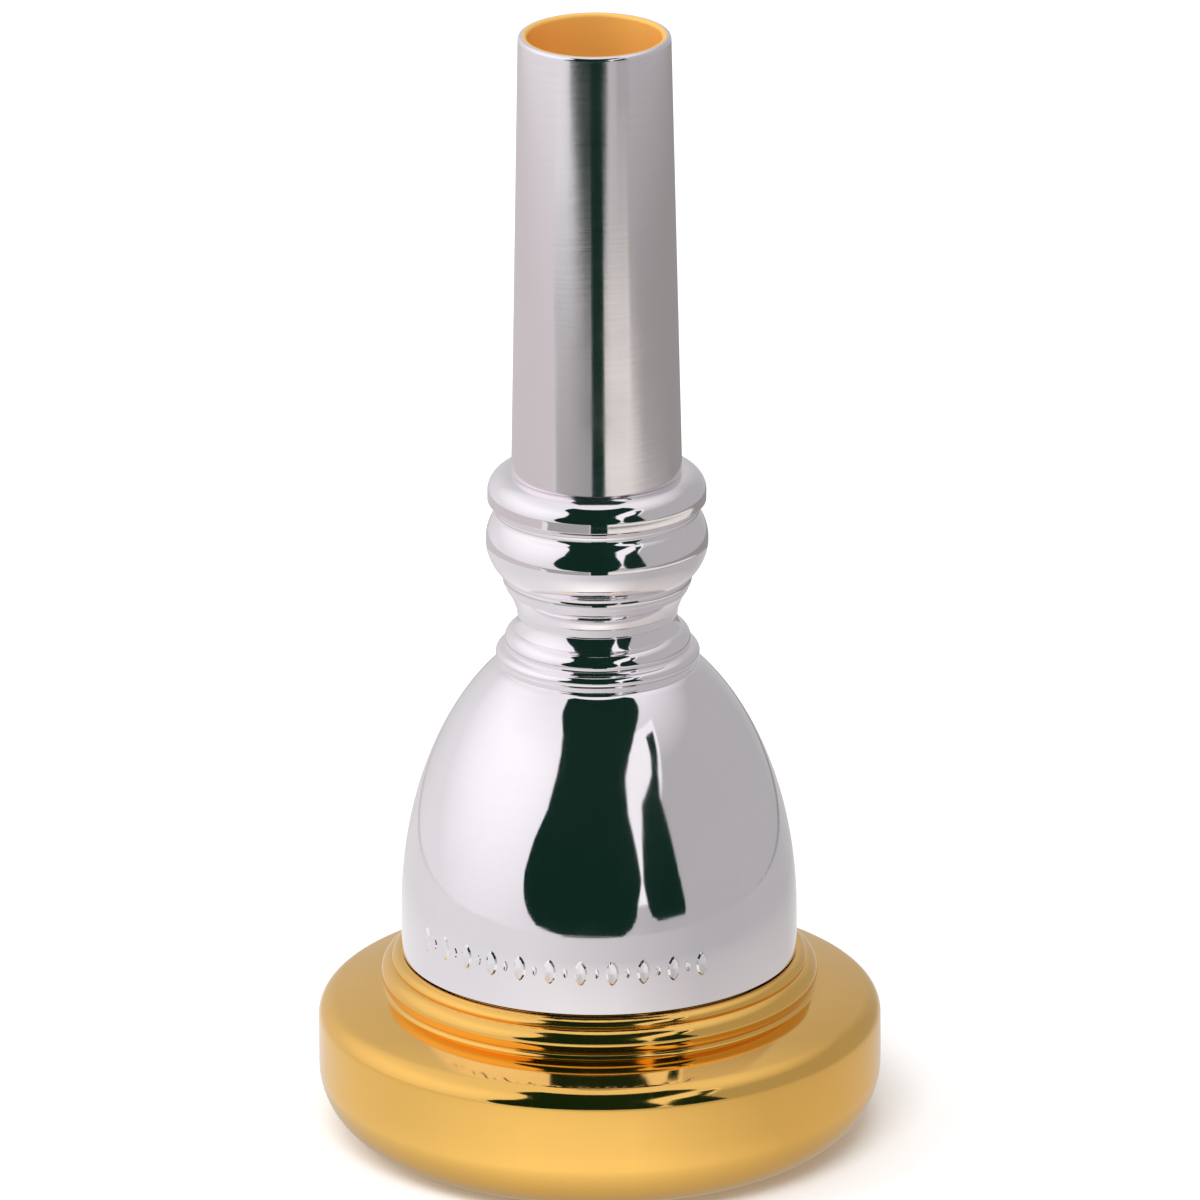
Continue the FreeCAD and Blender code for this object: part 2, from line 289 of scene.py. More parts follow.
def moulded_rubber(name, shade):
    material, graph = new_material(name)
    place = graph.node("ShaderNodeTexCoord", out="Object")
    grain = graph.noise(place, 5200.0, 3.0, 0.6)
    dust = graph.noise(place, 420.0, 4.0, 0.6)
    grey = tuple(min(1.0, channel * 4.5) for channel in shade)
    base = graph.blend(dust.ramp(0.45, 0.8) * 0.7, opaque(shade), opaque(grey))
    rough = 0.42 + dust.ramp(0.3, 0.7) * 0.22
    bump = graph.node("ShaderNodeBump", inputs={
        "Strength": 0.6, "Distance": 1.0, "Height": grain * 0.00001})
    shader = graph.node("ShaderNodeBsdfPrincipled", inputs={
        "Base Color": base, "Roughness": rough, "Normal": bump})
    output(graph, "ShaderNodeOutputMaterial", shader)
    return material


# ---- outlines -----------------------------------------------------------------------------
class Outline:
    """Points of a turned outline, each a radius and a height in millimetres."""

    def __init__(self, r, z):
        self.points = [(r, z)]

    def to(self, r, z, step=1.0):
        """A straight run, divided so that no part is longer than step."""
        r0, z0 = self.points[-1]
        parts = max(1, math.ceil(math.hypot(r - r0, z - z0) / step - 1e-6))
        for i in range(1, parts + 1):
            t = i / parts
            self.points.append((r0 + (r - r0) * t, z0 + (z - z0) * t))
        return self

    def turn(self, centre, radius, first, last, steps=12):
        """An arc of the given centre and radius between two angles in degrees."""
        for i in range(steps + 1):
            a = math.radians(first + (last - first) * i / steps)
            point = centre[0] + radius * math.cos(a), centre[1] + radius * math.sin(a)
            if math.dist(point, self.points[-1]) > 1e-4:
                self.points.append(point)
        return self

    def bead(self, r, z, height, steps=9):
        """A bead (height above 0) or a groove (below 0) from here to the given point."""
        r0, z0 = self.points[-1]
        dr, dz = r - r0, z - z0
        chord = math.hypot(dr, dz)
        middle = Vector(((r0 + r) / 2 + height * abs(dz) / chord, (z0 + z) / 2))
        a, b = Vector((r0, z0)), Vector((r, z))
        ab, am = b - a, middle - a
        cross = 2 * (ab.x * am.y - ab.y * am.x)
        ux = (am.y * ab.length_squared - ab.y * am.length_squared) / cross
        uy = (ab.x * am.length_squared - am.x * ab.length_squared) / cross
        centre = a + Vector((ux, uy))
        start = math.atan2(a.y - centre.y, a.x - centre.x)
        via = (math.atan2(middle.y - centre.y, middle.x - centre.x) - start) % math.tau
        end = (math.atan2(b.y - centre.y, b.x - centre.x) - start) % math.tau
        sweep = end if via < end else end - math.tau
        radius = (a - centre).length
        first = math.degrees(start)
        return self.turn(centre, radius, first, first + math.degrees(sweep), steps)

    def ellipse(self, base, radius, height, end_z, steps):
        """Along an ellipse centred on the axis at level base, from here to level end_z."""
        first = math.asin((self.points[-1][1] - base) / height)
        last = math.asin((end_z - base) / height)
        for i in range(1, steps + 1):
            a = first + (last - first) * i / steps
            self.points.append((radius * math.cos(a), base + height * math.sin(a)))
        return self

    def softened(self, radius, least_turn=18.0):
        """The closed outline with its corners rounded, and held by a point on each side."""
        most_of_a_run, hold = 0.32, 1.5
        points = [Vector(p) for p in self.points]
        if (points[0] - points[-1]).length < 1e-4:
            points.pop()
        soft = []
        for i, here in enumerate(points):
            back = points[i - 1] - here
            ahead = points[(i + 1) % len(points)] - here
            turn = math.degrees(math.pi - back.angle(ahead))
            if turn < least_turn:
                soft.append(here)
                continue
            cut = min(radius * math.tan(math.radians(turn) / 2),
                      most_of_a_run * back.length, most_of_a_run * ahead.length)
            back.normalize()
            ahead.normalize()
            soft.append(here + back * cut * hold)
            for t in (0.0, 0.25, 0.5, 0.75, 1.0):
                soft.append(here + back * cut * (1 - t) ** 2 + ahead * cut * t ** 2)
            soft.append(here + ahead * cut * hold)
        return soft


def ellipse_radius(base, radius, height, z):
    return radius * math.sqrt(max(0.0, 1 - ((z - base) / height) ** 2))


RING_CLEARANCE = 0.03


class Thread:
    """Sizes of a right-hand V thread, and the radius of its crests and roots at any place.

    Depth, relief and the flat at the root are shares of the pitch; the rest is millimetres.
    """

    slope = 2 * math.tan(math.radians(30))
    depth_share = 0.57
    relief_share = 1.5
    flat_share = 0.15
    clearance = 0.1
    flank_clearance = 0.06
    land_clearance = 0.15
    runout = 0.2
    steps_per_turn = 12
    edge = 1e-3
    near = 0.01

    def __init__(self, diameter, pitch, low, top, female_low, female_top):
        self.pitch = pitch
        self.fine = pitch / self.steps_per_turn
        self.depth = self.depth_share * pitch
        self.relief = self.relief_share * pitch
        self.root_flat = self.flat_share * pitch
        self.major = diameter / 2
        self.root = self.major - self.depth
        self.minor = self.root + self.clearance
        self.bore = self.major + self.land_clearance
        self.low, self.top = low, top
        self.female_low, self.female_top = female_low, female_top

    def off_centre(self, z, angle, level):
        """Distance along the axis from the middle of the nearest turn."""
        turns = (z - level) / self.pitch - angle / math.tau
        return np.abs(turns - np.round(turns)) * self.pitch

    def cut_male(self, r, z, angle):
        away = self.off_centre(z, angle, self.low)
        wave = self.root + (away - self.root_flat / 2) * 2 / self.slope
        wave = np.clip(wave, self.root, self.major)
        here = ((z >= self.low - self.edge) & (z <= self.top + self.edge)
                & (r > self.root - self.near))
        return np.where(here, np.minimum(r, wave), r)

    def cut_female(self, r, z, angle):
        root = self.major + self.clearance
        crest = self.pitch - self.root_flat - self.slope * self.depth
        root_width = crest - self.slope * self.clearance + 2 * self.flank_clearance
        away = self.off_centre(z, angle, self.low + self.pitch / 2)
        wave = root - (away - root_width / 2) * 2 / self.slope
        wave = np.clip(wave, self.minor, root)
        here = ((z >= self.female_low + self.relief - self.edge)
                & (z <= self.female_top + self.edge)
                & (r > self.minor - self.near) & (r < self.bore + self.near))
        return np.where(here, np.maximum(r, wave), r)

    def draw_male(self, outline, ring_low, ring_top, section):
        groove = self.bore - section - 2 * RING_CLEARANCE
        outline.to(self.root, self.low)
        outline.to(self.major, self.low + self.depth, self.fine)
        outline.to(self.major, self.top, self.fine)
        outline.to(self.root - self.runout, self.top)
        outline.to(self.root - self.runout, self.top + self.relief)
        outline.to(self.major, self.top + self.relief)
        outline.to(self.major, ring_low)
        outline.to(groove, ring_low)
        outline.to(groove, ring_top)
        outline.to(self.major, ring_top)

    def draw_female(self, outline):
        outline.to(self.bore, self.female_top)
        outline.to(self.minor, self.female_top - self.depth, self.fine)
        outline.to(self.minor, self.female_low + self.relief, self.fine)
        outline.to(self.bore, self.female_low + self.relief)
        outline.to(self.bore, self.female_low)


class Sizes:
    """Sizes in millimetres that follow from the settings, shared by the pieces."""

    land = 0.6
    groove = 1.3
    spigot = 8.0
    seat = 7.5
    collar_foot = 0.3
    rim_pitch = 1.0
    shank_pitch = 0.75
    rim_thread_inset = 0.5
    shank_thread_inset = 0.15
    socket_lead = 0.35
    spigot_gap = 0.4

    def __init__(self, settings):
        rim, cup, shank = settings.rim, settings.cup, settings.shank
        tilt = math.radians(rim.face_slope)
        reach = (rim.outside / 2 - rim.edge_round - rim.collar / 2) / MM - self.collar_foot
        self.face = (rim.side_top / MM + rim.edge_round / MM * math.cos(tilt)
                     + reach * math.tan(tilt))
        self.collar_top = self.face + rim.collar_height / MM
        self.flange_top = cup.flange_top / MM
        self.spigot_end = self.flange_top - self.spigot
        self.rim_ring = self.collar_top - self.land - self.groove
        self.shank_ring = self.flange_top - self.land - self.groove
        top = self.rim_ring - self.land - Thread.relief_share * self.rim_pitch
        self.rim_thread = Thread(cup.body / MM - self.rim_thread_inset, self.rim_pitch,
                                 self.seat, top,
                                 self.seat, top - self.socket_lead * self.rim_pitch)
        top = self.shank_ring - self.land - Thread.relief_share * self.shank_pitch
        self.shank_thread = Thread(shank.end / MM - self.shank_thread_inset, self.shank_pitch,
                                   self.spigot_end, top, self.spigot_end - self.spigot_gap,
                                   top - self.socket_lead * self.shank_pitch)
        self.bowl_base = cup.bowl_base / MM
        self.bowl_depth = cup.bowl_depth / MM
        self.bowl_r = rim.bite / 2 / MM
        self.bowl_seat = ellipse_radius(self.bowl_base, self.bowl_r, self.bowl_depth, self.seat)
        self.throat = cup.throat / 2 / MM
        self.shank_top = shank.top / MM
        self.shank_end = shank.end / 2 / MM
        self.taper = shank.taper

    def shank_radius(self, z):
        return self.shank_end + self.taper / 2 * (self.shank_top - z)


# ---- geometry nodes -----------------------------------------------------------------------
def new_geometry_tree(name, sockets):
    tree = bpy.data.node_groups.new(name, "GeometryNodeTree")
    tree.interface.new_socket("Geometry", in_out="OUTPUT", socket_type="NodeSocketGeometry")
    tree.interface.new_socket("Geometry", in_out="INPUT", socket_type="NodeSocketGeometry")
    for label, kind in sockets:
        tree.interface.new_socket(label, in_out="INPUT", socket_type=kind)
    graph = Graph(tree)
    group = tree.nodes.new("NodeGroupInput")
    inputs = {s.name: Value(graph, s) for s in group.outputs if s.name}
    return graph, inputs


def close_tree(graph, geometry, material):
    real = graph.node("GeometryNodeRealizeInstances", inputs={0: geometry})
    done = graph.node("GeometryNodeSetMaterial", inputs={"Geometry": real,
                                                         "Material": material})
    out = graph.tree.nodes.new("NodeGroupOutput")
    graph.tree.links.new(done.socket, out.inputs[0])
    return graph.tree


def lathe_tree():
    """Turns a closed outline of points (radius, 0, height) about the Z axis."""
    graph, given = new_geometry_tree("Lathe", [("Segments", "NodeSocketInt"),
                                               ("Material", "NodeSocketMaterial")])
    outline, segments = given["Geometry"], given["Segments"]
    points = graph.node("GeometryNodeAttributeDomainSize", inputs={"Geometry": outline},
                        out="Point Count")
    around = segments + 1
    grid = graph.node("GeometryNodeMeshGrid", inputs={
        "Size X": 1.0, "Size Y": 1.0, "Vertices X": points + 1, "Vertices Y": around})
    index = graph.node("GeometryNodeInputIndex")
    row = ((index + 0.5) / around).math("FLOOR")
    angle = (index - row * around) / segments * math.tau
    here = graph.node("GeometryNodeInputPosition")
    sample = graph.node("GeometryNodeSampleIndex", {"data_type": "FLOAT_VECTOR"},
                        {"Geometry": outline, "Value": here, "Index": row % points})
    radius, _, height = graph.parts(sample)
    place = graph.vector(radius * angle.math("COSINE"), radius * angle.math("SINE"), height)
    turned = graph.node("GeometryNodeSetPosition", inputs={"Geometry": grid,
                                                           "Position": place})
    closed = graph.node("GeometryNodeMergeByDistance", inputs={"Geometry": turned,
                                                               "Distance": 1e-7})
    return close_tree(graph, closed, given["Material"])


def ornament_tree():
    """Sets copies of a mark along an arc about the Z axis, every other one smaller."""
    graph, given = new_geometry_tree("Ornament band", [
        ("Marks", "NodeSocketInt"), ("Radius", "NodeSocketFloat"),
        ("Level", "NodeSocketFloat"), ("Start", "NodeSocketFloat"),
        ("Sweep", "NodeSocketFloat"), ("Small", "NodeSocketFloat"),
        ("Material", "NodeSocketMaterial")])
    marks = given["Marks"]
    line = graph.node("GeometryNodeMeshLine", inputs={"Count": marks})
    index = graph.node("GeometryNodeInputIndex")
    angle = given["Start"] + given["Sweep"] * index / (marks - 1)
    place = graph.vector(given["Radius"] * angle.math("COSINE"),
                         given["Radius"] * angle.math("SINE"), given["Level"])
    placed = graph.node("GeometryNodeSetPosition", inputs={"Geometry": line,
                                                           "Position": place})
    size = 1 - (index % 2) * (1 - given["Small"])
    copies = graph.node("GeometryNodeInstanceOnPoints", inputs={
        "Points": placed, "Instance": given["Geometry"],
        "Rotation": graph.vector(0.0, 0.0, angle), "Scale": graph.vector(1.0, size, size)})
    return close_tree(graph, copies, given["Material"])


def bake(source, tree, values, name):
    """The mesh that the tree makes from source, as a new object; source is removed."""
    modifier = source.modifiers.new(tree.name, "NODES")
    modifier.node_group = tree
    for item in tree.interface.items_tree:
        if item.in_out == "INPUT" and item.name in values:
            modifier[item.identifier] = values[item.name]
    bpy.context.view_layer.update()
    evaluated = source.evaluated_get(bpy.context.evaluated_depsgraph_get())
    mesh = bpy.data.meshes.new_from_object(evaluated)
    mesh.name = name
    source.modifiers.remove(modifier)
    bpy.data.objects.remove(source)
    piece = bpy.data.objects.new(name, mesh)
    bpy.context.scene.collection.objects.link(piece)
    if not mesh.polygons:
        raise RuntimeError(name + " came out empty")
    return piece


def outline_object(points, name):
    mesh = bpy.data.meshes.new(name)
    corners = [(p[0] * MM, 0.0, p[1] * MM) for p in points]
    ring = [(i, (i + 1) % len(corners)) for i in range(len(corners))]
    mesh.from_pydata(corners, ring, [])
    source = bpy.data.objects.new(name, mesh)
    bpy.context.scene.collection.objects.link(source)
    return source


def vertices(mesh):
    places = np.empty(len(mesh.vertices) * 3, np.float32)
    mesh.vertices.foreach_get("co", places)
    return places.reshape(-1, 3).astype(float)


def signed_volume(mesh):
    mesh.calc_loop_triangles()
    corners = np.empty(len(mesh.loop_triangles) * 3, np.int32)
    mesh.loop_triangles.foreach_get("vertices", corners)
    a, b, c = vertices(mesh)[corners.reshape(-1, 3)].transpose(1, 0, 2)
    return float(np.einsum("ij,ij->i", a, np.cross(b, c)).sum()) / 6


def smooth(mesh, sharp_above=50.0):
    if signed_volume(mesh) < 0:
        mesh.flip_normals()
    mesh.shade_smooth()
    mesh.set_sharp_from_angle(angle=math.radians(sharp_above))
    mesh.update()


def turned_piece(name, points, segments, material, cuts=(), inside=None):
    """A piece turned from its outline; cuts shape its threads, inside marks its lining."""
    source = outline_object(points, name + "_outline")
    piece = bake(source, lathe_tree(), {"Segments": segments, "Material": material}, name)
    mesh = piece.data
    places = vertices(mesh)
    r = np.hypot(places[:, 0], places[:, 1]) / MM
    z = places[:, 2] / MM
    angle = np.arctan2(places[:, 1], places[:, 0])
    new_r = r
    for cut in cuts:
        new_r = cut(new_r, z, angle)
    scale = new_r / r
    places[:, 0] *= scale
    places[:, 1] *= scale
    mesh.vertices.foreach_set("co", places.astype(np.float32).ravel())
    if inside is not None:
        lining = mesh.attributes.new("lining", "FLOAT", "POINT")
        lining.data.foreach_set("value", inside(r, z).astype(np.float32))
    smooth(mesh)
    return piece


def settings_of(context):
    return context.scene.mouthpiece


# ---- pieces -------------------------------------------------------------------------------
EDGE_BREAK = 0.15
FACE_CROWN = 0.08
COLLAR_COVE = 0.45
COLLAR_HOLLOW = 0.15
COLLAR_GROOVE = 0.75
COLLAR_BEAD = 0.8
COLLAR_SHOULDER = 0.3


class MOUTHPIECE_OT_rim(bpy.types.Operator):
    """Turn the gold-plated rim with its collar and threaded socket"""
    bl_idname = "mouthpiece.rim"
    bl_label = "Rim"

    def execute(self, context):
        settings = settings_of(context)
        sizes, rim, finish = Sizes(settings), settings.rim, settings.finish
        bite, crest, side = rim.bite / 2 / MM, rim.crest / 2 / MM, rim.outside / 2 / MM
        collar, top, low = rim.collar / 2 / MM, sizes.collar_top, sizes.face
        inner, outer = crest - bite, rim.outer_round / MM
        edge, side_top = rim.edge_round / MM, rim.side_top / MM
        cup_r = settings.cup.body / 2 / MM
        outline = Outline(bite, inner)
        outline.turn((crest, inner), inner, 180, 270, 16)
        outline.turn((side - outer, outer), outer, 270, 360, 22)
        outline.to(side, side_top)
        outline.turn((side - edge, side_top), edge, 0, 90 - rim.face_slope, 14)
        face_r, face_z = outline.points[-1]
        foot_r = collar + sizes.collar_foot
        for t in (0.2, 0.4, 0.6, 0.8, 1.0):
            outline.to(face_r + (foot_r - face_r) * t,
                       face_z + (low - face_z) * t + 4 * FACE_CROWN * t * (1 - t))
        groove_r = (collar + cup_r) / 2
        outline.bead(collar, low + COLLAR_COVE, -COLLAR_HOLLOW)
        outline.bead(groove_r, top - COLLAR_GROOVE, COLLAR_BEAD, 16)
        outline.to(groove_r + EDGE_BREAK, top - (COLLAR_GROOVE - EDGE_BREAK))
        outline.bead(cup_r + EDGE_BREAK, top, COLLAR_SHOULDER)
        outline.to(sizes.rim_thread.bore, top)
        sizes.rim_thread.draw_female(outline)
        outline.to(sizes.bowl_seat, sizes.seat)
        outline.to(sizes.bowl_r, sizes.bowl_base)
        outline.to(bite, inner)
        material = plated_metal("gold_plate", finish.gold, finish.gold_worn,
                                0.05, 0.15, 1.1e-6)
        piece = turned_piece("turned_rim", outline.softened(0.1), rim.segments, material,
                             cuts=[sizes.rim_thread.cut_female])
        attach(piece, "rim")
        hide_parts("rim")
        return {"FINISHED"}


NECK_PROFILE = (
    ("neck", 1.35, 1.65, 0.35),
    ("neck", 1.0, 1.8, 0),
    ("neck", 0.2, 3.4, 0.45),
    ("neck", -0.05, 3.9, 0),
    ("neck", -0.15, 4.5, 0),
    ("neck", -0.05, 4.65, 0),
    ("neck", 0.0, 5.3, 0),
    ("neck", 0.12, 5.45, 0),
    ("neck", 0.9, 7.0, -0.1),
    ("neck", 0.95, 7.4, 0),
    ("neck", 1.15, 7.55, 0),
    ("neck", 1.2, 8.0, 0),
    ("neck", 1.15, 8.25, 0),
    ("flange", -0.4, 13.5, 1.0),
    ("flange", -0.4, 14.6, -0.25),
    ("flange", 0.0, 15.0, 0),
    ("flange", 0.0, 15.6, 0),
    ("flange", -1.7, 17.5, 0.9),
)


def draw_neck(outline, neck, flange, z):
    """The turned beads and grooves between the dome and the flange, from the bottom up.

    Each feature of NECK_PROFILE runs up to a radius beyond the neck's or the flange's circle,
    at a height above the dome's end; the last number is its bulge, or its hollow if below 0.
    """
    reference = {"neck": neck, "flange": flange}
    cut = 0.3
    step = outline.points[-1][0] - cut
    outline.to(step, z + cut / 2)
    outline.to(step, z + 2 * cut)
    for circle, beyond, height, bulge in NECK_PROFILE:
        point = reference[circle] + beyond, z + height
        if bulge:
            outline.bead(*point, bulge, 18 if bulge > 0.8 else 9)
        else:
            outline.to(*point)


def throat_blend(sizes, radius):
    """Where a round touches the bowl's ellipse, and its centre."""
    low, high = 0.0, math.pi / 2
    for _ in range(60):
        t = (low + high) / 2
        point = (sizes.bowl_r * math.cos(t), sizes.bowl_base + sizes.bowl_depth * math.sin(t))
        normal = math.cos(t) / sizes.bowl_r, math.sin(t) / sizes.bowl_depth
        reach = radius / math.hypot(*normal)
        centre = point[0] + reach * normal[0], point[1] + reach * normal[1]
        if centre[0] > sizes.throat + radius:
            low = t
        else:
            high = t
    return point, centre


class MOUTHPIECE_OT_cup(bpy.types.Operator):
    """Turn the silver-plated cup with its neck, bowl and threads"""
    bl_idname = "mouthpiece.cup"
    bl_label = "Cup"

    def execute(self, context):
        settings = settings_of(context)
        sizes, cup, finish = Sizes(settings), settings.cup, settings.finish
        body, base = cup.body / 2 / MM, cup.dome_base / MM
        seat_gap, blend, mouth, skin = 0.1, 3.0, 0.2, 0.25
        shoulder, neck_level = sizes.collar_top + seat_gap, cup.neck_level / MM
        touch, centre = throat_blend(sizes, blend)
        touch_angle = math.degrees(math.atan2(touch[1] - centre[1],
                                              touch[0] - centre[0])) % 360
        outline = Outline(sizes.bowl_seat, sizes.seat)
        sizes.rim_thread.draw_male(outline, sizes.rim_ring, sizes.rim_ring + sizes.groove,
                                   settings.seals.section / MM)
        outline.to(sizes.rim_thread.major, shoulder)
        outline.to(body - EDGE_BREAK, shoulder)
        outline.to(body, shoulder + EDGE_BREAK)
        outline.to(body, base, 0.5)
        outline.ellipse(base, body, cup.dome_height / MM, neck_level, 56)
        draw_neck(outline, cup.neck / 2 / MM, cup.flange / 2 / MM, neck_level)
        outline.to(sizes.shank_thread.bore + mouth, sizes.flange_top)
        outline.to(sizes.shank_thread.bore, sizes.flange_top - mouth)
        sizes.shank_thread.draw_female(outline)
        outline.to(sizes.throat, sizes.shank_thread.female_low)
        outline.turn(centre, blend, 180, touch_angle)
        outline.ellipse(sizes.bowl_base, sizes.bowl_r, sizes.bowl_depth, sizes.seat, 40)
        material = plated_metal("silver_plate_cup", finish.silver, finish.silver_worn,
                                0.035, 0.11, 1.0e-6, lining=finish.gold)
        bowl = np.vectorize(lambda z: ellipse_radius(sizes.bowl_base, sizes.bowl_r,
                                                     sizes.bowl_depth, z))

        def inside(r, z):
            wall = np.maximum(bowl(z), sizes.throat)
            return (r < wall + skin) & (z < sizes.shank_thread.female_low + Thread.near)

        piece = turned_piece("turned_cup", outline.softened(0.08), cup.segments, material,
                             cuts=[sizes.rim_thread.cut_male, sizes.shank_thread.cut_female],
                             inside=inside)
        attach(piece, "cup")
        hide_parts("cup")
        return {"FINISHED"}


class MOUTHPIECE_OT_shank(bpy.types.Operator):
    """Turn the silver-plated shank with its backbore and threaded spigot"""
    bl_idname = "mouthpiece.shank"
    bl_label = "Shank"

    def execute(self, context):
        settings = settings_of(context)
        sizes, shank, finish = Sizes(settings), settings.shank, settings.finish
        end, top, flange = sizes.shank_end, sizes.shank_top, sizes.flange_top
        lip, bore_step, bore_bow, skin = 0.32, 0.05, 0.2, 0.38
        bore_end, bore_low = shank.bore_end / 2 / MM, sizes.throat + bore_step
        foot_r = sizes.shank_radius(flange)
        outline = Outline(bore_low, sizes.spigot_end)
        sizes.shank_thread.draw_male(outline, sizes.shank_ring,
                                     sizes.shank_ring + sizes.groove,
                                     settings.seals.section / MM)
        outline.to(sizes.shank_thread.major, flange)
        outline.to(foot_r - EDGE_BREAK, flange)
        outline.to(foot_r, flange + EDGE_BREAK)
        outline.to(sizes.shank_radius(top - lip), top - lip)
        outline.turn((end - lip, top - lip), lip, 0, 90, 8)
        outline.turn((bore_end + lip, top - lip), lip, 90, 180, 8)
        outline.bead(bore_low, sizes.spigot_end, bore_bow, 40)
        material = plated_metal("silver_plate_shank", finish.silver, finish.silver_worn,
                                0.10, 0.18, 1.3e-6, lining=finish.gold)

        def inside(r, z):
            straight = bore_low + (bore_end - bore_low) * (
                (z - sizes.spigot_end) / (top - sizes.spigot_end))
            return r < straight + skin

        piece = turned_piece("turned_shank", outline.softened(0.06), shank.segments, material,
                             cuts=[sizes.shank_thread.cut_male], inside=inside)
        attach(piece, "shank")
        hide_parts("shank")
        return {"FINISHED"}


class MOUTHPIECE_OT_seals(bpy.types.Operator):
    """Mould the two rubber rings that seal the screwed joints"""
    bl_idname = "mouthpiece.seals"
    bl_label = "Seals"

    def execute(self, context):
        settings = settings_of(context)
        sizes, seals = Sizes(settings), settings.seals
        material = moulded_rubber("seal_rubber", settings.finish.rubber)
        half = seals.section / 2 / MM
        flash, line_width, steps = seals.flash / MM, 0.12, 40
        rings = (("rim_ring_seal", sizes.rim_thread, sizes.rim_ring, "rim_seal", "rim_o_ring"),
                 ("shank_ring_seal", sizes.shank_thread, sizes.shank_ring, "shank_seal",
                  "shank_o_ring"))
        for name, thread, groove_low, body, node in rings:
            centre = thread.bore - RING_CLEARANCE - half
            level = groove_low + sizes.groove / 2
            points = []
            for i in range(steps):
                a = math.tau * i / steps
                mould_line = math.exp(-(math.cos(a) / line_width) ** 2) * flash
                reach = half - flash + mould_line
                points.append((centre + reach * math.cos(a), level + reach * math.sin(a)))
            piece = turned_piece(name, points, seals.segments, material)
            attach(piece, body)
            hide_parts(node)
        return {"FINISHED"}


class MOUTHPIECE_OT_ornament(bpy.types.Operator):
    """Set the band of small leaf marks on the cup, just above the collar"""
    bl_idname = "mouthpiece.ornament"
    bl_label = "Ornament"

    def execute(self, context):
        settings = settings_of(context)
        band, finish = settings.ornament, settings.finish
        sunk = 0.05 * MM
        sides, point, small = 12, 1.4, 0.42
        top_width, top_height, dish = 0.62, 0.78, 0.3
        corners = []
        for i in range(sides):
            a = math.tau * i / sides
            pinch = abs(math.cos(a)) ** point
            corners.append((0.0, band.mark_width / 2 * pinch * math.copysign(1, math.cos(a)),
                            band.mark_height / 2 * math.sin(a)))
        inner = [(sunk + band.relief, y * top_width, z * top_height) for _, y, z in corners]
        faces = [(i, (i + 1) % sides, sides + (i + 1) % sides, sides + i)
                 for i in range(sides)]
        dished = (sunk + band.relief * dish, 0.0, 0.0)
        centre = 2 * sides
        faces += [(sides + i, sides + (i + 1) % sides, centre) for i in range(sides)]
        faces.append(tuple(range(sides))[::-1])
        mesh = bpy.data.meshes.new("mark")
        mesh.from_pydata(corners + inner + [dished], [], faces)
        source = bpy.data.objects.new("mark", mesh)
        bpy.context.scene.collection.objects.link(source)
        material = plated_metal("silver_plate_marks", finish.silver, finish.silver_worn,
                                0.12, 0.24, 1.2e-6)
        piece = bake(source, ornament_tree(), {
            "Marks": band.marks, "Radius": settings.cup.body / 2 - sunk, "Level": band.level,
            "Start": math.radians(band.start - 90), "Sweep": math.radians(band.sweep),
            "Small": small, "Material": material}, "leaf_band")
        if signed_volume(piece.data) < 0:
            piece.data.flip_normals()
        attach(piece, "cup")
        return {"FINISHED"}


# ---- stage --------------------------------------------------------------------------------
def plain_emission(name, rgb, strength=1.0):
    material, graph = new_material(name)
    shader = graph.node("ShaderNodeEmission", inputs={"Color": opaque(rgb),
                                                      "Strength": strength})
    output(graph, "ShaderNodeOutputMaterial", shader)
    return material


def unseen_card(name, rows, material, centre, distance):
    """A card that only the metal mirrors.

    Each row is an elevation and the left and right azimuth there, in degrees from centre.
    """
    across, down = 16, 40
    levels = np.linspace(rows[0][0], rows[-1][0], down)
    lefts = np.interp(levels, [r[0] for r in rows], [r[1] for r in rows])
    rights = np.interp(levels, [r[0] for r in rows], [r[2] for r in rows])
    corners = []
    for level, left, right in zip(levels, lefts, rights):
        for azimuth in np.linspace(left, right, across):
            a, e = math.radians(azimuth), math.radians(level)
            ray = Vector((math.sin(a) * math.cos(e), -math.cos(a) * math.cos(e),
                          math.sin(e)))
            corners.append(centre + ray * distance)
    faces = [(i * across + j, i * across + j + 1, (i + 1) * across + j + 1,
              (i + 1) * across + j)
             for i in range(down - 1) for j in range(across - 1)]
    stage_mesh(name, corners, faces, material)


def stage_mesh(name, corners, faces, material, seen=False):
    mesh = bpy.data.meshes.new(name)
    mesh.from_pydata(corners, [], faces)
    mesh.materials.append(material)
    mesh.shade_smooth()
    card = bpy.data.objects.new(name, mesh)
    bpy.context.scene.collection.objects.link(card)
    if not seen:
        card.visible_camera = False
        card.visible_diffuse = False
        card.visible_shadow = False
    return card


def area_light(name, place, target, size, power):
    data = bpy.data.lights.new(name, "AREA")
    data.shape = "RECTANGLE"
    data.size, data.size_y = size
    data.energy = power
    light = bpy.data.objects.new(name, data)
    light.location = place
    light.rotation_euler = (Vector(target) - Vector(place)).to_track_quat("-Z", "Y").to_euler()
    bpy.context.scene.collection.objects.link(light)
    return light


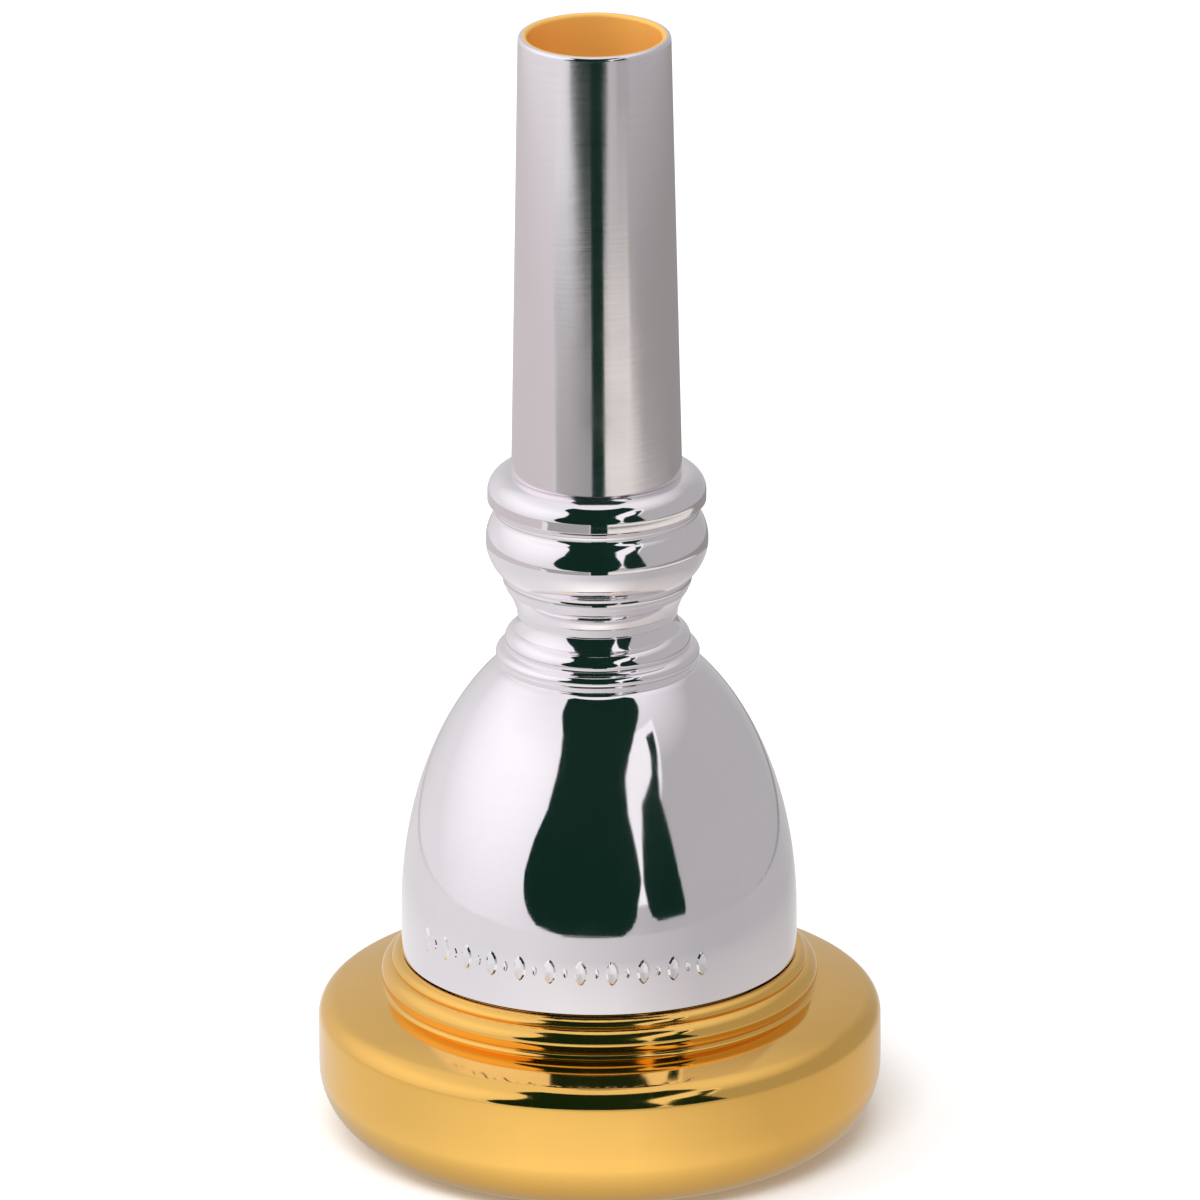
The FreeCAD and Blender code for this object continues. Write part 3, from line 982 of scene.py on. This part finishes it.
def studio_world():
    """A soft white room: bright on the left and overhead, grey on the right."""
    world = bpy.data.worlds.new("soft_room")
    world.use_nodes = True
    world.node_tree.nodes.clear()
    graph = Graph(world.node_tree)
    ray = graph.node("ShaderNodeTexCoord", out="Generated")
    x, _, z = graph.parts(ray)
    side = x.ramp(-0.75, 0.55)
    tone = graph.blend(side, (0.78, 0.775, 0.79, 1.0), (0.44, 0.435, 0.44, 1.0))
    window = graph.node("ShaderNodeVectorMath", {"operation": "DOT_PRODUCT"},
                        {0: ray, 1: (-0.74, -0.15, 0.655)}, out="Value")
    tone = graph.blend(window.ramp(0.55, 0.98), tone, (1.06, 1.04, 1.08, 1.0))
    tone = graph.blend(z.ramp(0.55, 0.9), tone, (0.86, 0.85, 0.87, 1.0))
    shader = graph.node("ShaderNodeBackground", inputs={"Color": tone, "Strength": 1.0})
    output(graph, "ShaderNodeOutputWorld", shader)
    return world


def table_glow(name):
    """What the metal mirrors of the table.

    It is painted with a shadow under the rim, painted light beside it, and painted shade
    outwards and to the right.
    """
    material, graph = new_material(name)
    place = graph.node("ShaderNodeTexCoord", out="Object")
    x, y, _ = graph.parts(place)
    away = (x * x + y * y).power(0.5)
    side = (x / away).ramp(-0.6, 0.8)
    # painted light: bright beside the rim, dimmer to the far left and to the right
    near = graph.blend((x / away).ramp(-0.95, -0.35), (0.80, 0.80, 0.82, 1.0),
                       (1.04, 1.02, 0.98, 1.0))
    near = graph.blend((x / away).ramp(0.15, 0.8), near, (0.66, 0.63, 0.60, 1.0))
    # painted shade: greyer outwards and darker to the right
    far = graph.blend(side, (0.74, 0.73, 0.735, 1.0), (0.46, 0.455, 0.46, 1.0))
    tone = graph.blend(away.ramp(0.035, 0.085), near, far)
    # painted contact shadow in a ring just under the rim's edge
    tone = graph.blend(away.ramp(0.021, 0.029), (0.45, 0.42, 0.38, 1.0), tone)
    shader = graph.node("ShaderNodeEmission", inputs={"Color": tone, "Strength": 1.0})
    output(graph, "ShaderNodeOutputMaterial", shader)
    return material


class MOUTHPIECE_OT_stage(bpy.types.Operator):
    """Lay the floor and set the room, lights, dark cards and camera"""
    bl_idname = "mouthpiece.stage"
    bl_label = "Stage"

    def execute(self, context):
        stage = settings_of(context).stage
        scene = context.scene
        scene.world = studio_world()
        scene.view_settings.view_transform = "Standard"
        material, graph = new_material("pale_floor")
        shader = graph.node("ShaderNodeBsdfPrincipled", inputs={
            "Base Color": opaque(stage.floor), "Roughness": 0.9,
            "Emission Color": (1.0, 1.0, 1.0, 1.0), "Emission Strength": 0.08})
        output(graph, "ShaderNodeOutputMaterial", shader)
        reach, disc_radius, disc_sides, disc_level = 6.0, 0.14, 64, 1e-4
        near, middle, far, back = 0.62, 0.64, 0.66, 0.68
        corners = [(-reach, -reach, 0), (reach, -reach, 0), (reach, reach, 0),
                   (-reach, reach, 0)]
        floor = stage_mesh("floor", corners, [(0, 1, 2, 3)], material, seen=True)
        floor.visible_glossy = False
        disc = [(disc_radius * math.cos(math.tau * i / disc_sides),
                 disc_radius * math.sin(math.tau * i / disc_sides), disc_level)
                for i in range(disc_sides)]
        # the table's painted reflection, with its painted light and painted shadow, stands in
        # for the floor in the metal
        stage_mesh("table_glow", disc, [tuple(range(disc_sides))], table_glow("table_glow"))
        flag = plain_emission("dark_flag", stage.flag)
        white = plain_emission("white_card", (0.93, 0.92, 0.94))
        grey = plain_emission("grey_card", (0.36, 0.355, 0.35))
        centre = Vector((0, 0, 0.033))
        unseen_card("wide_flag", [
            (-22, -7, 11), (-11.6, -7, 11), (-11.5, -24, 13), (-10.5, -34, 17),
            (-8, -40, 21), (-4, -44, 22), (2, -45, 25), (12, -41, 23), (22, -35, 20),
            (34, -33, 21), (42, -34, 28), (50, -38, 40), (58, -50, 60), (74, -60, 70)],
            flag, centre, near)
        unseen_card("narrow_flag", [
            (-8.5, 34, 50), (-7, 30, 51), (-4, 28, 50), (2, 26, 48), (12, 27, 46),
            (24, 30, 44), (32, 42, 48), (38, 46, 53), (46, 49, 58)],
            flag, centre, near)
        unseen_card("white_gap", [(-4, 18, 32), (10, 18, 34), (30, 16, 50), (50, 34, 64)],
                    white, centre, far)
        unseen_card("grey_band", [(-24, -52, -8), (-17, -54, -8), (-12.2, -62, -8)],
                    grey, centre, middle)
        unseen_card("grey_right", [(-30, 12, 190), (-11.5, 12, 190)],
                    plain_emission("dim_card", (0.30, 0.29, 0.28)), centre, back)
        unseen_card("pale_left", [(-30, -190, -60), (-11.5, -190, -60)],
                    plain_emission("pale_left", (0.60, 0.56, 0.57)), centre, back)
        unseen_card("white_band", [(-19, 10, 128), (-17.2, 10, 112), (-15.5, 10, 71),
                                   (-13.5, 10, 50), (-12.2, 10, 46)],
                    plain_emission("pale_card", (0.80, 0.77, 0.72)), centre, middle)
        for light in (
                area_light("left_softbox", (-0.9, -0.15, 0.75), (0, 0, 0.05), (0.5, 0.7), 4.0),
                area_light("front_softbox", (-0.1, -0.9, 1.3), (0, 0, 0), (0.9, 0.7), 14.0)):
            light.visible_glossy = False

        data = bpy.data.cameras.new("camera")
        data.lens = stage.lens
        data.sensor_width = 36.0
        data.shift_x = 0.0021
        data.clip_start = 0.05
        data.clip_end = 50.0
        camera = bpy.data.objects.new("camera", data)
        down = math.radians(stage.elevation)
        ahead = Vector((0, math.cos(down), -math.sin(down)))
        aim = Vector((0, 0, stage.aim))
        turn = ahead.to_track_quat("-Z", "Y").to_matrix().to_4x4()
        roll = Matrix.Rotation(math.radians(stage.roll), 4, "Z")
        camera.matrix_world = Matrix.Translation(aim - ahead * stage.distance) @ turn @ roll
        scene.collection.objects.link(camera)
        scene.camera = camera
        return {"FINISHED"}


class MOUTHPIECE_PT_panel(bpy.types.Panel):
    """Lists the sizes, colours and pieces"""
    bl_label = "Mouthpiece"
    bl_idname = "MOUTHPIECE_PT_panel"
    bl_space_type = "VIEW_3D"
    bl_region_type = "UI"
    bl_category = "Mouthpiece"

    def draw(self, context):
        settings = settings_of(context)
        for group in ("rim", "cup", "shank", "seals", "ornament", "finish", "stage"):
            box = self.layout.box()
            box.label(text=group.capitalize())
            values = getattr(settings, group)
            for name in values.__annotations__:
                box.prop(values, name)
        for operator in OPERATORS:
            self.layout.operator(operator.bl_idname)


OPERATORS = (MOUTHPIECE_OT_rim, MOUTHPIECE_OT_cup, MOUTHPIECE_OT_shank, MOUTHPIECE_OT_seals,
             MOUTHPIECE_OT_ornament, MOUTHPIECE_OT_stage)
CLASSES = (RimSettings, CupSettings, ShankSettings, SealSettings, OrnamentSettings,
           FinishSettings, StageSettings, MouthpieceSettings) + OPERATORS + (
    MOUTHPIECE_PT_panel,)


def register():
    for item in CLASSES:
        bpy.utils.register_class(item)
    bpy.types.Scene.mouthpiece = PointerProperty(type=MouthpieceSettings)


def unregister():
    del bpy.types.Scene.mouthpiece
    for item in reversed(CLASSES):
        bpy.utils.unregister_class(item)


def main():
    register()
    bpy.ops.mouthpiece.rim()
    bpy.ops.mouthpiece.cup()
    bpy.ops.mouthpiece.shank()
    bpy.ops.mouthpiece.seals()
    bpy.ops.mouthpiece.ornament()
    bpy.ops.mouthpiece.stage()


if __name__ == "__main__":
    main()
